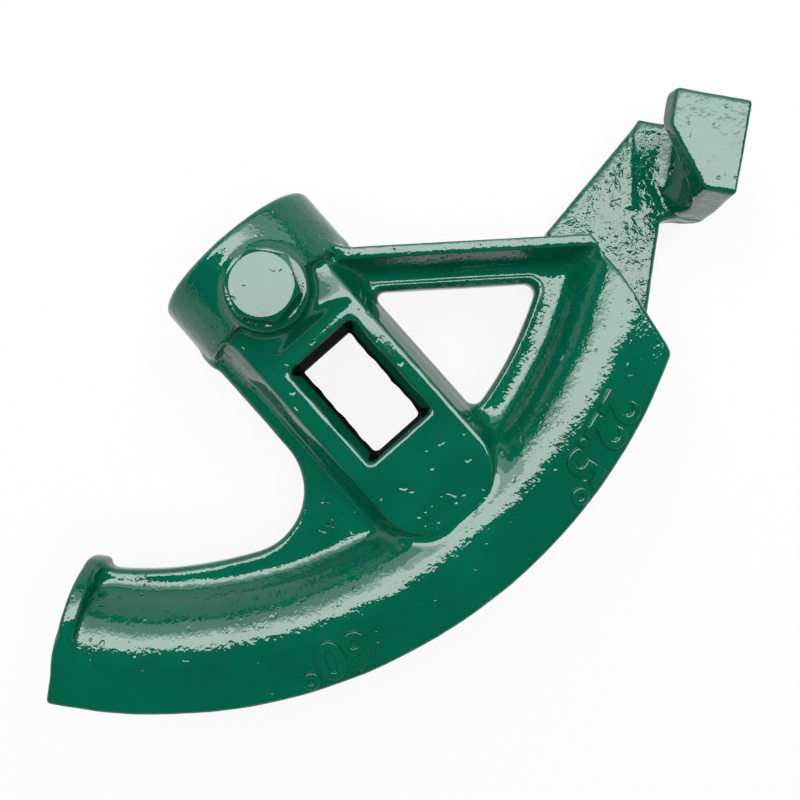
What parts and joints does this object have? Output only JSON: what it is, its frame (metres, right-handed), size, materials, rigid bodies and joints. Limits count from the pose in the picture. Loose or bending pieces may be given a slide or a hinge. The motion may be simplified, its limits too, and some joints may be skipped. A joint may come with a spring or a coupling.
{
  "type": "hand tube bender head",
  "caption": "Cast curved shoe with a tube groove, an end hook and a handle socket that a hex bolt clamps.",
  "frame": {"origin": "centre of the handle socket's mouth, on the tube's middle plane", "axes": "+Y out of the socket along the handle, +X towards the hook, +Z across the tube towards the clamp bolt's head"},
  "size_m": [0.2438, 0.1172, 0.0588],
  "materials": {
    "enamelled_iron": "glossy green enamel over a sand-cast surface",
    "enamelled_bolt": "glossy green enamel over a plain steel bolt"
  },
  "bodies": {
    "head": {"bender_head": "enamelled_iron"},
    "bolt": {"clamp_bolt": "enamelled_bolt"}
  },
  "joints": [
    {"name": "bolt_travel", "type": "slide", "parent": "head", "child": "bolt", "axis": [0, 0, 1], "range_m": [-0.0004, 0.006]}
  ]
}
